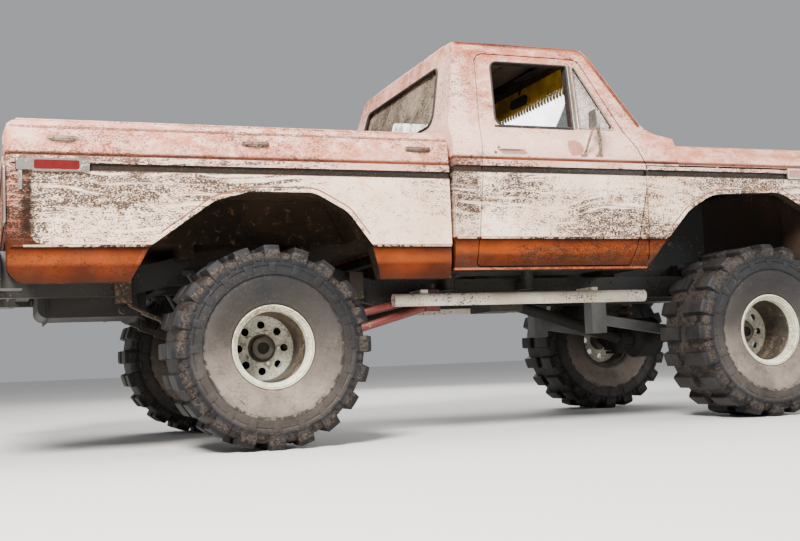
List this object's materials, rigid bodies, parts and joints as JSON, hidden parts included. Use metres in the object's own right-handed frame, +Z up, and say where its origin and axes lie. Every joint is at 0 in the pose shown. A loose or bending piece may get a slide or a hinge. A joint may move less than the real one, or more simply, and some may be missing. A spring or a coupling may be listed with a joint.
{
  "type": "lifted off-road pickup truck",
  "caption": "Lifted off-road pickup with two doors, a cargo bed and deep-lugged tyres; it rolls, steers and opens its doors, hood and tailgate.",
  "frame": {"origin": "centre of the bounding box at the floor", "axes": "+X towards the nose, +Y to the vehicle's left, +Z up"},
  "size_m": [5.185, 2.259, 2.2675],
  "materials": {
    "upper_paint": "faded pink-salmon paint, mud specks",
    "side_paint": "three-colour panels: salmon above, cream middle, orange below",
    "frame_steel": "dark chassis paint under dust",
    "bumper_steel": "black",
    "engine_iron": "oily cast iron",
    "axle_iron": "dusty cast iron",
    "spring_steel": "dusty spring steel",
    "red_bar": "dark red paint, dusty",
    "white_pipe": "off-white paint",
    "grey_arm": "grey paint",
    "shock_paint": "white tube, dusty",
    "tank_steel": "dull",
    "clear_glass": "muddy",
    "cabin_black": "dark",
    "seat_cloth": "worn brown vinyl",
    "nose_steel": "dark",
    "grille_metal": "dull",
    "lamp_glass": "clear lens",
    "amber_lens": "amber",
    "red_lens": "red",
    "mirror_metal": "silvery back, rusty arm",
    "tyre_rubber": "dark grey with dried mud",
    "rim_paint": "cream-white, muddy"
  },
  "bodies": {
    "chassis": {"frame": "frame_steel", "bumpers": "bumper_steel", "powertrain": "engine_iron", "driveshafts": "axle_iron", "leaf_springs": "spring_steel", "coil_springs": "spring_steel", "radius_arms": "grey_arm", "traction_bars": "red_bar", "side_pipes": "white_pipe", "shocks": "shock_paint", "fuel_tank": "tank_steel", "front_axle": "axle_iron", "rear_axle": "axle_iron", "cab_shell": "upper_paint", "cab_floor": "cabin_black", "cab_glass": "clear_glass", "bench_seat": "seat_cloth", "dashboard": "cabin_black", "steering_wheel": "cabin_black", "fenders": "side_paint", "radiator_support": "nose_steel", "grille": "grille_metal", "headlamps": "lamp_glass", "signal_lamps": "amber_lens", "tail_lamps": "red_lens", "bed_sides": "side_paint", "bed_floor": "upper_paint"},
    "door_right": {"door_right": "side_paint", "vent_glass_right": "clear_glass", "mirror_right": "mirror_metal"},
    "door_left": {"door_left": "side_paint", "vent_glass_left": "clear_glass", "mirror_left": "mirror_metal"},
    "tailgate": {"tailgate": "side_paint"},
    "hood": {"hood": "upper_paint"},
    "knuckle_right": {"knuckle_right": "axle_iron"},
    "knuckle_left": {"knuckle_left": "axle_iron"},
    "wheel_front_right": {"tyre_front_right": "tyre_rubber", "rim_front_right": "rim_paint"},
    "wheel_front_left": {"tyre_front_left": "tyre_rubber", "rim_front_left": "rim_paint"},
    "wheel_rear_right": {"tyre_rear_right": "tyre_rubber", "rim_rear_right": "rim_paint"},
    "wheel_rear_left": {"tyre_rear_left": "tyre_rubber", "rim_rear_left": "rim_paint"}
  },
  "joints": [
    {"name": "steer_right", "type": "hinge", "parent": "chassis", "child": "knuckle_right", "pos_m": [1.7795, -0.64, 0.5015], "axis": [0, 0, 1], "range_deg": [-25, 25]},
    {"name": "wheel_front_right", "type": "hinge", "parent": "knuckle_right", "child": "wheel_front_right", "pos_m": [1.7795, -0.911, 0.5015], "axis": [0, 1, 0], "continuous": true},
    {"name": "wheel_rear_right", "type": "hinge", "parent": "chassis", "child": "wheel_rear_right", "pos_m": [-1.1925, -0.911, 0.5015], "axis": [0, 1, 0], "continuous": true},
    {"name": "door_right_hinge", "type": "hinge", "parent": "chassis", "child": "door_right", "pos_m": [1.0595, -1, 1.3815], "axis": [0, 0, 1], "range_deg": [0, 65]},
    {"name": "steer_left", "type": "hinge", "parent": "chassis", "child": "knuckle_left", "pos_m": [1.7795, 0.64, 0.5015], "axis": [0, 0, 1], "range_deg": [-25, 25]},
    {"name": "wheel_front_left", "type": "hinge", "parent": "knuckle_left", "child": "wheel_front_left", "pos_m": [1.7795, 0.911, 0.5015], "axis": [0, 1, 0], "continuous": true},
    {"name": "wheel_rear_left", "type": "hinge", "parent": "chassis", "child": "wheel_rear_left", "pos_m": [-1.1925, 0.911, 0.5015], "axis": [0, 1, 0], "continuous": true},
    {"name": "door_left_hinge", "type": "hinge", "parent": "chassis", "child": "door_left", "pos_m": [1.0595, 1, 1.3815], "axis": [0, 0, -1], "range_deg": [0, 65]},
    {"name": "tailgate_hinge", "type": "hinge", "parent": "chassis", "child": "tailgate", "pos_m": [-2.3975, 0, 1.0625], "axis": [0, -1, 0], "range_deg": [0, 90]},
    {"name": "hood_hinge", "type": "hinge", "parent": "chassis", "child": "hood", "pos_m": [1.2825, 0, 1.6575], "axis": [0, -1, 0], "range_deg": [0, 50]}
  ],
  "couplings": [
    {"joint": "steer_left", "follows": "steer_right", "ratio": 1}
  ]
}
